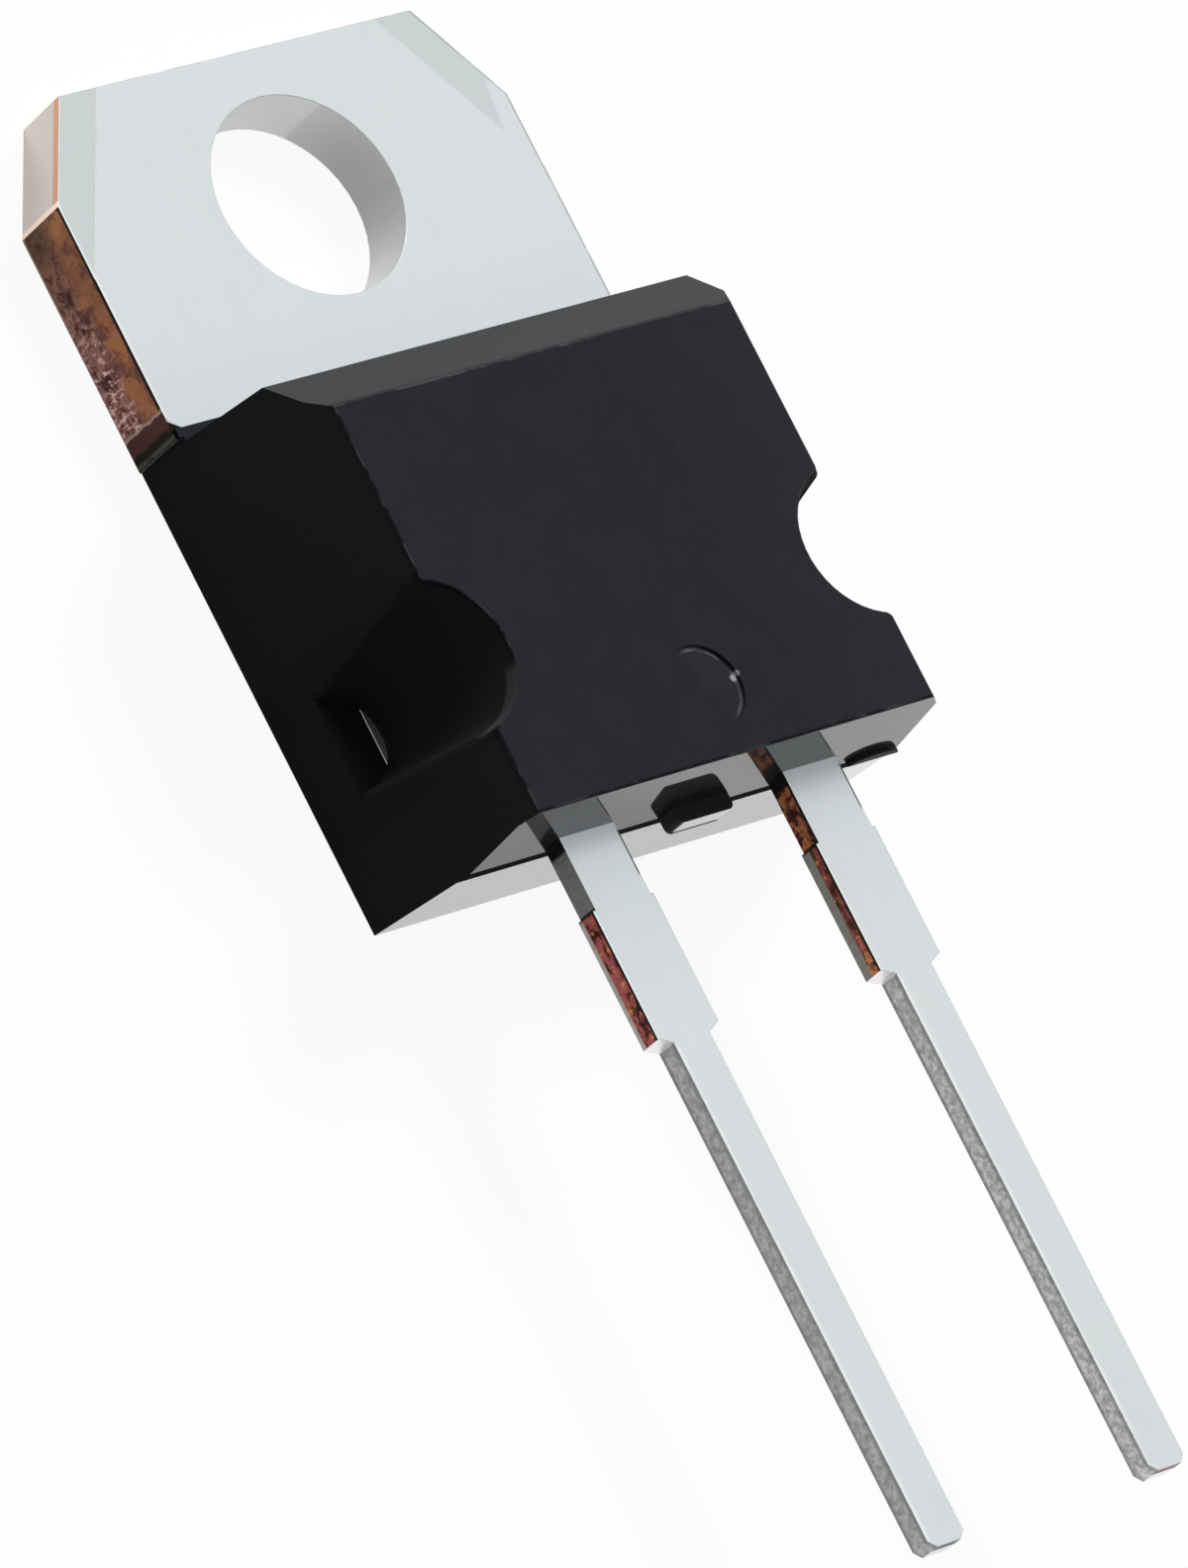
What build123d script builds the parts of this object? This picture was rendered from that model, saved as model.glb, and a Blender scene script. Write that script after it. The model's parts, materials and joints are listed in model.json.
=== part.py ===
from build123d import *
import os
from math import atan2, cos, degrees, hypot, radians, tan

# Schottky diode in a two-lead power package with a metal mounting tab.
# Units are millimetres. The origin is on the axis of the mounting hole, in the flat back face.
# X runs across the tab, +Y runs towards the tab's free end and +Z runs out of the front face.
# The leads leave the moulded body towards -Y.

# Tab, the bare part of the heatsink
TAB_WIDTH = 10.2
TAB_THICKNESS = 1.24
HOLE_DIAMETER = 3.85
HOLE_TO_TAB_END = 2.82
CORNER_CUT_ACROSS = 1.13
CORNER_CUT_ALONG = 1.92
COINED_BAND_WIDTH = 0.72        # flattened band beside each cut corner
COINED_DEPTH = 0.012
TAB_EDGE_ROUND = 0.07           # rolled edge that the stamping leaves on the front

# Moulded body
HOLE_TO_BODY = 3.63
BODY_LENGTH = 9.09              # from the tab end to the parting line at the lead end
BODY_HEIGHT = 4.52
BODY_INSET = 0.035              # the base stands this far inside the tab's sides
SIDE_DRAFT = 3.9                # degrees
SIDE_BEVEL_WIDTH = 0.28
SIDE_BEVEL_DROP = 0.33
TAB_END_DRAFT = 4.6             # degrees
LEAD_END_DRAFT = 4.6            # degrees, on both sides of the parting line
TAB_END_BEVEL_DROP = 1.04
TAB_END_BEVEL_RUN = 0.985
FLANGE_LIP = 0.06               # the flange's top above the tab's front
FLANGE_STEP = 0.07              # the wall above the flange stands back from it
LEDGE_REACH = 0.18              # low lip of resin on the tab's front
FRONT_EDGE_ROUND = 0.06

# Side notches, narrower towards the tab
NOTCH_RADIUS = 1.42             # at the front face
NOTCH_DRAFT = 9.5               # degrees
NOTCH_OFFSET = 0.38             # axis outside the front face's long edge
NOTCH_PLACE = 0.652             # share of the body's length, from its tab end
NOTCH_MOUTH_ROUND = 0.15

# Marks that the mould leaves
EJECTOR_RADIUS = 0.78
EJECTOR_DEPTH = 0.05            # at the deepest edge, and nothing across the middle
EJECTOR_DEEP_SIDE = 20          # degrees from +X towards +Y
EJECTOR_FROM_LEAD_END = 1.42
NUB_WIDTH = 1.24
NUB_REACH = 0.32
NUB_CORNER_RADIUS = 0.12
GATE_WIDTH = 1.15
GATE_HEIGHT = 0.25
GATE_REACH = 0.08
GATE_FROM_SIDE = 0.02           # keeps it inside the drafted side

# Heatsink under the moulding
SIDE_COVER = 0.88               # resin beside the heatsink
END_COVER = 2.17                # resin between the heatsink and the lead end
LOCK_BEVEL = 0.25               # bevelled back edges that the resin grips
GROOVE_WIDTH = 0.5
GROOVE_FROM_BODY_END = 1.2

# Leads
LEAD_PITCH = 5.1
LEAD_BACK_HEIGHT = 2.655        # from the tab's back to the leads' back
LEAD_THICKNESS = 0.46
NECK_WIDTH = 1.24
NECK_LENGTH = 1.33              # from the body to the cut tie bar
STUB_WIDTH = 1.37               # where the tie bar was cut off
STUB_LENGTH = 2.43
SHOULDER_SLANT = 0.13
LEAD_WIDTH = 0.81
LEAD_LENGTH = 13.38             # from the body to the tips
TIP_CHAMFER = 0.14

# Inner ends of the leads
RISER_COVER = 1.17              # resin outside the bend of the cathode lead
RISER_SEAT = 0.3
PAD_WIDTH = 2.6
PAD_LENGTH = 1.05
PAD_COVER = 0.67

# Chip and wires
DIE_SIZE = 3.0
DIE_THICKNESS = 0.3
DIE_PLACE = 0.574               # share of the covered heatsink's length
SOLDER_THICKNESS = 0.05
SOLDER_MARGIN = 0.1
WIRE_DIAMETER = 0.38
WIRE_COUNT = 2
WIRE_PITCH = 0.95
WIRE_FOOT = 0.5
WIRE_FOOT_HEIGHT = 0.6          # centre of a flattened foot, in wire radii
WIRE_BEND_RADIUS = 0.4
WIRE_LOOP_HEIGHT = 3.85
WIRE_LOOP_SETBACK = 0.85

# Places worked out from the sizes above
BODY_END = HOLE_TO_BODY + BODY_LENGTH
BASE_HALF = TAB_WIDTH / 2 - BODY_INSET
FLANGE_TOP = TAB_THICKNESS + FLANGE_LIP
BEVEL_FOOT = BODY_HEIGHT - SIDE_BEVEL_DROP
HEATSINK_HALF = BASE_HALF - SIDE_COVER
HEATSINK_END = BODY_END - END_COVER
LEAD_FRONT_HEIGHT = LEAD_BACK_HEIGHT + LEAD_THICKNESS
DIE_Y = -HOLE_TO_BODY - DIE_PLACE * (BODY_LENGTH - END_COVER)
DIE_TOP = TAB_THICKNESS + SOLDER_THICKNESS + DIE_THICKNESS


def drafted(distance, angle):
    return distance * tan(radians(angle))


def half_width_at(height):
    """Half width of the moulded body at a height above the back, up to the side bevels."""
    return BASE_HALF - drafted(height, SIDE_DRAFT)


def polygon(*points):
    return make_face(Polyline(*points, close=True))


def mirrored_outline(*half_points):
    """Closed outline from the points of its right half, listed from end to end."""
    left_half = [(-x, y) for x, y in reversed(half_points)]
    return polygon(*half_points, *left_half)


def side_profile(width, *points):
    """Solid of the given width, centred on X, from (y, z) points."""
    return extrude(Plane.YZ * polygon(*points), amount=width / 2, both=True)


# Copper pieces


def tab_plate():
    corner_y = HOLE_TO_TAB_END - CORNER_CUT_ALONG
    outline = mirrored_outline(
        (TAB_WIDTH / 2 - CORNER_CUT_ACROSS, HOLE_TO_TAB_END),
        (TAB_WIDTH / 2, corner_y),
        (TAB_WIDTH / 2, -HOLE_TO_BODY),
    )
    plate = extrude(outline, amount=TAB_THICKNESS)
    plate = coin_corner(coin_corner(plate, 1), -1)
    front_edges = plate.edges().group_by(Axis.Z)[-1]
    end_edge = front_edges.sort_by(Axis.Y)[-1]
    return fillet(end_edge, TAB_EDGE_ROUND)


def coin_corner(plate, side):
    """Presses the shallow band that runs along a cut corner."""
    slope = hypot(CORNER_CUT_ACROSS, CORNER_CUT_ALONG)
    shift = COINED_BAND_WIDTH * slope / CORNER_CUT_ALONG
    end_x = TAB_WIDTH / 2 - CORNER_CUT_ACROSS - shift
    run = shift * CORNER_CUT_ALONG / CORNER_CUT_ACROSS
    side_y = HOLE_TO_TAB_END - CORNER_CUT_ALONG - run
    band = polygon(
        (side * end_x, HOLE_TO_TAB_END),
        (side * TAB_WIDTH / 2, HOLE_TO_TAB_END),
        (side * TAB_WIDTH / 2, side_y),
    )
    return plate - Pos(Z=TAB_THICKNESS - COINED_DEPTH) * extrude(band, amount=TAB_THICKNESS)


def covered_plate():
    """The part of the heatsink that lies under the moulding, with its locking edges."""
    length = HEATSINK_END - HOLE_TO_BODY
    plate = Pos(Y=-HOLE_TO_BODY - length / 2) * Box(
        2 * HEATSINK_HALF,
        length,
        TAB_THICKNESS,
        align=(Align.CENTER, Align.CENTER, Align.MIN),
    )
    back_edges = plate.edges().group_by(Axis.Z)[0]
    plate = chamfer(back_edges.sort_by(Axis.Y)[:-1], LOCK_BEVEL)
    groove_y = -HOLE_TO_BODY - GROOVE_FROM_BODY_END
    groove = side_profile(
        2 * HEATSINK_HALF,
        (groove_y - GROOVE_WIDTH / 2, TAB_THICKNESS),
        (groove_y, TAB_THICKNESS - GROOVE_WIDTH / 2),
        (groove_y + GROOVE_WIDTH / 2, TAB_THICKNESS),
    )
    return plate - groove


def riser():
    """The thin strip that climbs from the heatsink's end to the height of the leads."""
    bend_y = -BODY_END + RISER_COVER
    foot_y = -HEATSINK_END + RISER_SEAT
    angle = atan2(LEAD_FRONT_HEIGHT - TAB_THICKNESS, foot_y - bend_y)
    mitre = LEAD_THICKNESS * tan(angle / 2)
    drop = LEAD_THICKNESS / cos(angle)
    return side_profile(
        NECK_WIDTH,
        (-BODY_END, LEAD_FRONT_HEIGHT),
        (bend_y, LEAD_FRONT_HEIGHT),
        (foot_y, TAB_THICKNESS),
        (foot_y, TAB_THICKNESS - drop),
        (bend_y - mitre, LEAD_BACK_HEIGHT),
        (-BODY_END, LEAD_BACK_HEIGHT),
    )


def outer_lead():
    """The part of a lead outside the body, centred on X = 0."""
    stub_y = -BODY_END - NECK_LENGTH
    shoulder_y = stub_y - STUB_LENGTH
    tip_y = -BODY_END - LEAD_LENGTH
    outline = mirrored_outline(
        (NECK_WIDTH / 2, -BODY_END),
        (NECK_WIDTH / 2, stub_y),
        (STUB_WIDTH / 2, stub_y),
        (STUB_WIDTH / 2, shoulder_y),
        (LEAD_WIDTH / 2, shoulder_y - SHOULDER_SLANT),
        (LEAD_WIDTH / 2, tip_y + TIP_CHAMFER),
        (LEAD_WIDTH / 2 - TIP_CHAMFER, tip_y),
    )
    return Pos(Z=LEAD_BACK_HEIGHT) * extrude(outline, amount=LEAD_THICKNESS)


def heatsink_with_cathode_lead():
    heatsink = tab_plate() + covered_plate()
    heatsink -= Cylinder(HOLE_DIAMETER / 2, 4 * TAB_THICKNESS)
    lead = outer_lead() + riser()
    return heatsink + Pos(X=-LEAD_PITCH / 2) * lead


def anode_lead():
    pad_end = -BODY_END + PAD_COVER
    outline = mirrored_outline(
        (PAD_WIDTH / 2, pad_end + PAD_LENGTH),
        (PAD_WIDTH / 2, pad_end),
        (NECK_WIDTH / 2, pad_end),
        (NECK_WIDTH / 2, -BODY_END),
    )
    pad = Pos(Z=LEAD_BACK_HEIGHT) * extrude(outline, amount=LEAD_THICKNESS)
    return Pos(X=LEAD_PITCH / 2) * (outer_lead() + pad)


# Chip, solder and wires


def square_layer(size, bottom, thickness):
    return Pos(0, DIE_Y, bottom) * Box(
        size,
        size,
        thickness,
        align=(Align.CENTER, Align.CENTER, Align.MIN),
    )


def die_solder():
    return square_layer(DIE_SIZE + 2 * SOLDER_MARGIN, TAB_THICKNESS, SOLDER_THICKNESS)


def schottky_die():
    return square_layer(DIE_SIZE, TAB_THICKNESS + SOLDER_THICKNESS, DIE_THICKNESS)


def bond_wire(index, die, lead):
    """A looped wire with a flattened foot at each end, cut flat where it meets its seats."""
    offset = (index - (WIRE_COUNT - 1) / 2) * WIRE_PITCH
    start = Vector(offset, DIE_Y - DIE_SIZE / 6)
    pad_middle = -BODY_END + PAD_COVER + PAD_LENGTH / 2
    end = Vector(LEAD_PITCH / 2 + offset, pad_middle + WIRE_FOOT / 2)
    heading = (end - start).normalized()
    span = (end - start).length
    foot_rise = WIRE_FOOT_HEIGHT * WIRE_DIAMETER / 2
    start_height = DIE_TOP + foot_rise
    end_height = LEAD_FRONT_HEIGHT + foot_rise
    plane = Plane(
        origin=(start.X, start.Y, 0),
        x_dir=(heading.X, heading.Y, 0),
        z_dir=(heading.Y, -heading.X, 0),
    )
    path = plane * FilletPolyline(
        (-WIRE_FOOT, start_height),
        (0, start_height),
        (WIRE_LOOP_SETBACK, WIRE_LOOP_HEIGHT),
        (span - WIRE_LOOP_SETBACK, WIRE_LOOP_HEIGHT),
        (span, end_height),
        (span + WIRE_FOOT, end_height),
        radius=WIRE_BEND_RADIUS,
    )
    section = Plane(origin=path @ 0, z_dir=path % 0) * Circle(WIRE_DIAMETER / 2)
    return sweep(section, path=path) - die - lead


# Moulded body


def body_block():
    """The body before its notches, where the side view and the end view meet."""
    ridge_height = BODY_HEIGHT - TAB_END_BEVEL_DROP
    wall_y = -HOLE_TO_BODY - FLANGE_STEP
    ridge_y = wall_y - drafted(ridge_height - FLANGE_TOP, TAB_END_DRAFT)
    front_setback = drafted(BODY_HEIGHT - LEAD_BACK_HEIGHT, LEAD_END_DRAFT)
    back_setback = drafted(LEAD_BACK_HEIGHT, LEAD_END_DRAFT)
    side_view = side_profile(
        2 * TAB_WIDTH,
        (-HOLE_TO_BODY, 0),
        (-HOLE_TO_BODY, FLANGE_TOP),
        (wall_y, FLANGE_TOP),
        (ridge_y, ridge_height),
        (ridge_y - TAB_END_BEVEL_RUN, BODY_HEIGHT),
        (-BODY_END + front_setback, BODY_HEIGHT),
        (-BODY_END, LEAD_BACK_HEIGHT),
        (-BODY_END + back_setback, 0),
    )
    bevel_foot_half = half_width_at(BEVEL_FOOT)
    end_outline = mirrored_outline(
        (bevel_foot_half - SIDE_BEVEL_WIDTH, BODY_HEIGHT),
        (bevel_foot_half, BEVEL_FOOT),
        (BASE_HALF, 0),
    )
    end_view = extrude(Plane.XZ * end_outline, amount=4 * BODY_END, both=True)
    return side_view & end_view


def tab_ledge():
    """Low lip of resin that lies on the tab's front, at the foot of the body's wall."""
    return Pos(0, -HOLE_TO_BODY, TAB_THICKNESS) * Box(
        2 * BASE_HALF,
        LEDGE_REACH,
        FLANGE_LIP,
        align=(Align.CENTER, Align.MIN, Align.MIN),
    )


def side_notch(side):
    """Cone that stands on the heatsink's front face."""
    depth = BODY_HEIGHT - TAB_THICKNESS
    above = NOTCH_RADIUS
    bottom_radius = NOTCH_RADIUS - drafted(depth, NOTCH_DRAFT)
    top_radius = NOTCH_RADIUS + drafted(above, NOTCH_DRAFT)
    axis_x = half_width_at(BEVEL_FOOT) - SIDE_BEVEL_WIDTH + NOTCH_OFFSET
    place = Pos(side * axis_x, -HOLE_TO_BODY - NOTCH_PLACE * BODY_LENGTH, TAB_THICKNESS)
    return place * Cone(
        bottom_radius,
        top_radius,
        depth + above,
        align=(Align.CENTER, Align.CENTER, Align.MIN),
    )


def rounded_notches(body):
    """Rounds the notches' steep mouths and then the outline of the front face."""
    steep = [
        edge
        for wall in body.faces().filter_by(GeomType.CONE)
        for edge in wall.edges()
        if abs((edge % 0.5).Z) > 0.5
    ]
    body = fillet(steep, NOTCH_MOUTH_ROUND)
    front_face = body.faces().sort_by(Axis.Z)[-1]
    return fillet(front_face.edges(), FRONT_EDGE_ROUND)


def ejector_mark():
    """Shallow tilted disc in the front face, so that half of its edge fades out."""
    tilt = degrees(atan2(EJECTOR_DEPTH, EJECTOR_RADIUS))
    place = Pos(0, -BODY_END + EJECTOR_FROM_LEAD_END, BODY_HEIGHT)
    return place * Rot(Z=EJECTOR_DEEP_SIDE) * Rot(Y=tilt) * Cylinder(
        EJECTOR_RADIUS,
        BODY_HEIGHT / 4,
        align=(Align.CENTER, Align.CENTER, Align.MIN),
    )


def nub():
    """Resin that filled the mould's slot for a middle lead."""
    reach = NUB_REACH + END_COVER / 2
    outline = Pos(Y=-BODY_END - NUB_REACH + reach / 2) * Rectangle(NUB_WIDTH, reach)
    outer_corners = outline.vertices().group_by(Axis.Y)[0]
    outline = fillet(outer_corners, NUB_CORNER_RADIUS)
    return Pos(Z=LEAD_BACK_HEIGHT) * extrude(outline, amount=LEAD_THICKNESS)


def gate_remnant():
    """Broken-off resin where the mould was filled, on the parting line beside the anode lead."""
    centre_x = half_width_at(LEAD_BACK_HEIGHT) - GATE_FROM_SIDE - GATE_WIDTH / 2
    lens = Ellipse(GATE_WIDTH / 2, GATE_HEIGHT)
    lens &= Pos(Y=GATE_HEIGHT) * Rectangle(GATE_WIDTH, 2 * GATE_HEIGHT)
    plane = Plane(
        origin=(centre_x, -BODY_END - GATE_REACH, LEAD_BACK_HEIGHT),
        x_dir=(-1, 0, 0),
        z_dir=(0, 1, 0),
    )
    return extrude(plane * lens, amount=GATE_REACH + END_COVER / 4)


def moulded_body(inserts):
    body = body_block()
    for side in (-1, 1):
        body -= side_notch(side)
    body = rounded_notches(body)
    body = body - ejector_mark() + tab_ledge() + nub() + gate_remnant()
    for insert in inserts:
        body -= insert
    return body


def build_nodes():
    heatsink = heatsink_with_cathode_lead()
    anode = anode_lead()
    die = schottky_die()
    solder = die_solder()
    wires = [bond_wire(index, die, anode) for index in range(WIRE_COUNT)]
    inserts = [heatsink, anode, die, solder, *wires]
    nodes = {
        "moulded_body": moulded_body(inserts),
        "heatsink_with_cathode_lead": heatsink,
        "anode_lead": anode,
        "schottky_die": die,
        "die_solder": solder,
    }
    for index, wire in enumerate(wires):
        nodes[f"bond_wire_{index + 1}"] = wire
    return nodes


os.makedirs("parts", exist_ok=True)
for name, solid in build_nodes().items():
    export_step(solid, f"parts/{name}.step")
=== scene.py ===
import json
from math import pi

import bpy
from mathutils import Matrix, Vector

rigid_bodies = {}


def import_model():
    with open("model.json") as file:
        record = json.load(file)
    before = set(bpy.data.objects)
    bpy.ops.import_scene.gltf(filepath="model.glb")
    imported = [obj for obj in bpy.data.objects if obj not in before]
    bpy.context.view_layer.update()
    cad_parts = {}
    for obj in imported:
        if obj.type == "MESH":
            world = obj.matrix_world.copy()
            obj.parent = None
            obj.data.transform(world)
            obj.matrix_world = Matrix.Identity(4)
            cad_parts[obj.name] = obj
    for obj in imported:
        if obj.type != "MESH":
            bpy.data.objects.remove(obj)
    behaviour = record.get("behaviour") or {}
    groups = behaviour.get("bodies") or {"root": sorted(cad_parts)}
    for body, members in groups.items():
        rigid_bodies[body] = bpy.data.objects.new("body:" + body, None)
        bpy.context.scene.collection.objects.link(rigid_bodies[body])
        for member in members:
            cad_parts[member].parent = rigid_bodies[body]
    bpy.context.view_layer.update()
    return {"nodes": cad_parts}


# Looks of the two-lead power diode. Places are in millimetres of the part's own frame, and
# colours are linear red, green and blue.

MM = 0.001

# Tab
TAB_HALF = 5.1
TAB_END_Y = 2.82
TAB_THICKNESS = 1.24
CORNER_NORMAL = (0.8618, 0.5072)      # square to a cut corner, in X and Y
CORNER_DISTANCE = 4.852               # from the hole's axis to a cut corner
COINED_WIDTH = 0.72                   # of the band that is pressed in beside a cut corner
COINED_FADE_Y = -0.7
FLATTENED_X = 4.63                    # the right band stops at a line that crosses Y = 0 here
FLATTENED_LEAN = 0.128
FLATTENED_END_Y = 1.25
BODY_SHADE_START_Y = -6.0                   # darker tin beside the body
BODY_SHADE_END_Y = -2.4
FAR_EDGE_END_Y = -4.5
HOLE_REACH = 2.2                      # walls nearer to the axis than this are the hole's
HOLE_SHADE_START = -32.0               # degrees round the hole, from +X
HOLE_SHADE_END = 54.0
HOLE_PAINTED_LIGHT_START = 53.0

# Cut sides of the tab
TORN_HEIGHT = 0.62                    # torn below it and sheared clean above it
TARNISHED_Y = 0.75
PITS_START_Y = -0.6
RAW_START_Y = -1.2                    # from here to the body the torn part is lighter
FLASH_START_Y = -3.08                 # where thin resin begins
THICK_FLASH_Y = -3.38
TAB_BURR_HIGHLIGHT_END_Y = -3.2
RESIN_EDGE_Y = -3.27                  # resin on the front, at the left edge
RESIN_EDGE_END_Y = -5.0
RESIN_EDGE_LEAN = 0.7
RESIN_EDGE_WIDTH = 0.4

# Moulded body
BODY_START_Y = -3.63
LEAD_END_Y = -12.72
BODY_FRONT_Z = 4.52
SIDE_SLOPE = 0.0682                   # how far the sides lean in, for each unit of height
NOTCH_X = 4.879                       # distance of a side notch's axis from the middle
NOTCH_Y = -9.557
NOTCH_RADIUS = 1.42
LIT_SIDE_X = 3.0                      # the front face gets lighter round here
MARK_Y = -11.3
MARK_RADIUS = 0.78
MARK_DEEP_WAY = (0.94, 0.342)         # from its middle, in X and Y
# Bright spots of painted highlight on the ejector mark's rim
MARK_GLINTS = ((0.68, -11.27, 0.06), (0.77, -11.21, 0.045))       # X, Y and radius

# Leads
LEAD_X = 2.55
LEAD_BACK_Z = 2.655
LEAD_FRONT_Z = 3.115
NECK_HALF = 0.62
STUB_HALF = 0.685
LEAD_HALF = 0.405
STUB_START_Y = -14.05
STUB_END_Y = -16.48
TIP_Y = -26.1

# Stage, in metres
FLOOR_HALF = 3.0
FLOOR_LEVEL = -0.00001
LAMP_TARGET = (0.0, -0.01, 0.0)

# Shares of plain white in the floor, as the camera sees it and as mirrors and glass show it
FLOOR_WHITE = 0.93
MIRRORED_WHITE = 0.6

# Strength of the surround as light, and of its grey panel in reflections, where 1 is white
DIFFUSE_SURROUND = 0.22
GREY_PANEL = 0.25

# Camera that was fitted to the photograph's edges, in metres
CAMERA_MATRIX = (
    (0.733603, 0.215825, -0.644396, -0.161228),
    (-0.443159, 0.870807, -0.212851, -0.064571),
    (0.515206, 0.441718, 0.734471, 0.184665),
    (0.0, 0.0, 0.0, 1.0),
)
LENS_MM = 341.33
SENSOR_MM = 36.0
NEAR_CLIP = 0.01
FAR_CLIP = 20.0


class Graph:
    """Short ways to add shader nodes to one material, or to the world."""

    def __init__(self, name, owner=None):
        self.owner = owner or bpy.data.materials.new(name)
        self.owner.use_nodes = True
        self.tree = self.owner.node_tree
        self.tree.nodes.clear()
        self.place = None

    def feed(self, socket, value):
        if isinstance(value, bpy.types.NodeSocket):
            self.tree.links.new(value, socket)
        elif isinstance(value, (tuple, list)) and len(value) == 3 and socket.type == "RGBA":
            socket.default_value = (*value, 1.0)
        else:
            socket.default_value = value

    def add(self, kind, *values, **settings):
        node = self.tree.nodes.new(kind)
        for key, value in settings.items():
            setattr(node, key, value)
        for index, value in enumerate(values):
            if value is not None:
                self.feed(node.inputs[index], value)
        return node

    def math(self, operation, *values):
        return self.add("ShaderNodeMath", *values, operation=operation).outputs[0]

    def plus(self, a, b):
        return self.math("ADD", a, b)

    def minus(self, a, b):
        return self.math("SUBTRACT", a, b)

    def times(self, first, *rest):
        result = first
        for value in rest:
            result = self.math("MULTIPLY", result, value)
        return result

    def larger(self, a, b):
        return self.math("MAXIMUM", a, b)

    def size(self, value):
        return self.math("ABSOLUTE", value)

    def length(self, a, b):
        return self.math("SQRT", self.plus(self.times(a, a), self.times(b, b)))

    def opposite(self, mask):
        return self.minus(1.0, mask)

    def parts(self, vector):
        return self.add("ShaderNodeSeparateXYZ", vector).outputs

    def point(self):
        """Place on the part in millimetres, as a vector."""
        if self.place is None:
            coordinates = self.add("ShaderNodeTexCoord").outputs["Object"]
            scaled = self.add("ShaderNodeVectorMath", coordinates, operation="SCALE")
            scaled.inputs["Scale"].default_value = 1 / MM
            self.place = scaled.outputs[0]
        return self.place

    def stretched(self, x, y, z):
        """The place with each axis scaled, for grain that runs one way."""
        node = self.add("ShaderNodeVectorMath", self.point(), (x, y, z), operation="MULTIPLY")
        return node.outputs[0]

    def above(self, value, level, soft):
        """0 below the level and 1 above it, with a soft edge."""
        low, high = level - soft, level + soft
        node = self.add("ShaderNodeMapRange", value, low, high, interpolation_type="SMOOTHSTEP")
        return node.outputs[0]

    def below(self, value, level, soft):
        return self.opposite(self.above(value, level, soft))

    def between(self, value, low, high, soft):
        return self.times(self.above(value, low, soft), self.below(value, high, soft))

    def remap(self, value, low, high, new_low, new_high):
        return self.add("ShaderNodeMapRange", value, low, high, new_low, new_high).outputs[0]

    def noise(self, scale, detail, roughness, where=None, distortion=0.0):
        node = self.add("ShaderNodeTexNoise")
        self.feed(node.inputs["Vector"], where or self.point())
        node.inputs["Scale"].default_value = scale
        node.inputs["Detail"].default_value = detail
        node.inputs["Roughness"].default_value = roughness
        node.inputs["Distortion"].default_value = distortion
        return node.outputs["Fac"]

    def patches(self, level, soft, *noise):
        """Ragged patches where a noise is over the level."""
        return self.above(self.noise(*noise), level, soft)

    def cells(self, scale, where):
        node = self.add("ShaderNodeTexVoronoi")
        self.feed(node.inputs["Vector"], where)
        node.inputs["Scale"].default_value = scale
        return node.outputs["Distance"]

    def mix(self, factor, a, b):
        node = self.add("ShaderNodeMix", data_type="RGBA")
        self.feed(node.inputs[0], factor)
        self.feed(node.inputs[6], a)
        self.feed(node.inputs[7], b)
        return node.outputs[2]

    def paint(self, colour, new, *masks):
        """Lays a new colour over the old one, as far as the product of the masks says."""
        return self.mix(self.times(*masks), colour, new)

    def blend(self, factor, a, b):
        node = self.add("ShaderNodeMix", data_type="FLOAT")
        self.feed(node.inputs[0], factor)
        self.feed(node.inputs[2], a)
        self.feed(node.inputs[3], b)
        return node.outputs[0]

    def blend_normals(self, factor, a, b):
        node = self.add("ShaderNodeMix", data_type="VECTOR")
        self.feed(node.inputs[0], factor)
        self.feed(node.inputs[4], a)
        self.feed(node.inputs[5], b)
        return node.outputs[1]

    def bump(self, height, depth_mm, normal=None):
        node = self.add("ShaderNodeBump")
        node.inputs["Strength"].default_value = 1.0
        node.inputs["Distance"].default_value = depth_mm * MM
        self.feed(node.inputs["Height"], height)
        if normal is not None:
            self.feed(node.inputs["Normal"], normal)
        return node.outputs[0]

    def rounded(self, radius_mm, keep):
        """Normal that rounds the edges off, where keep is 1."""
        node = self.add("ShaderNodeBevel", samples=6)
        self.feed(node.inputs["Radius"], self.times(keep, radius_mm * MM))
        return node.outputs[0]

    def finish(self, **inputs):
        shader = self.add("ShaderNodeBsdfPrincipled")
        for key, value in inputs.items():
            self.feed(shader.inputs[key.replace("_", " ")], value)
        output = self.add("ShaderNodeOutputMaterial")
        self.tree.links.new(shader.outputs[0], output.inputs[0])
        return self.owner


class PartGraph(Graph):
    """A material that knows the place on the part in millimetres, and which way the face looks."""

    def __init__(self, name):
        super().__init__(name)
        self.x, self.y, self.z = self.parts(self.point())
        self.across = self.size(self.x)
        self.true_normal = self.add("ShaderNodeNewGeometry").outputs["True Normal"]
        self.nx, self.ny, self.nz = self.parts(self.true_normal)
        self.faces_leads = self.above(self.times(self.ny, -1.0), 0.9, 0.05)


# Colours of the moulding compound, and of painted light and shade on it
RESIN_DARK = (0.0190, 0.0194, 0.0256)
RESIN_LIGHT = (0.0236, 0.0239, 0.0320)
RESIN_GRAIN = (0.008, 0.008, 0.0095)
RESIN_SPECK = (0.040, 0.040, 0.045)
RESIN_LIT = (0.032, 0.032, 0.037)
BEVEL_LIT_DARK = (0.034, 0.035, 0.037)
BEVEL_LIT_LIGHT = (0.046, 0.047, 0.049)
RESIN_SHADED = (0.0062, 0.0060, 0.0050)
RESIN_FLANK_SHADE = (0.0008, 0.0008, 0.0008)
FRONT_EDGE_SHADE = (0.0050, 0.0050, 0.0055)
FRONT_EDGE_HIGHLIGHT = (0.055, 0.055, 0.058)
NOTCH_RIM_HIGHLIGHT = (0.055, 0.055, 0.057)
NUB_PAINTED_LIGHT = (0.040, 0.039, 0.046)
PARTING_LINE = (0.001, 0.001, 0.001)
MARK_RING_HIGHLIGHT = (0.100, 0.100, 0.106)
MARK_GLINT = (0.34, 0.34, 0.36)


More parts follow.
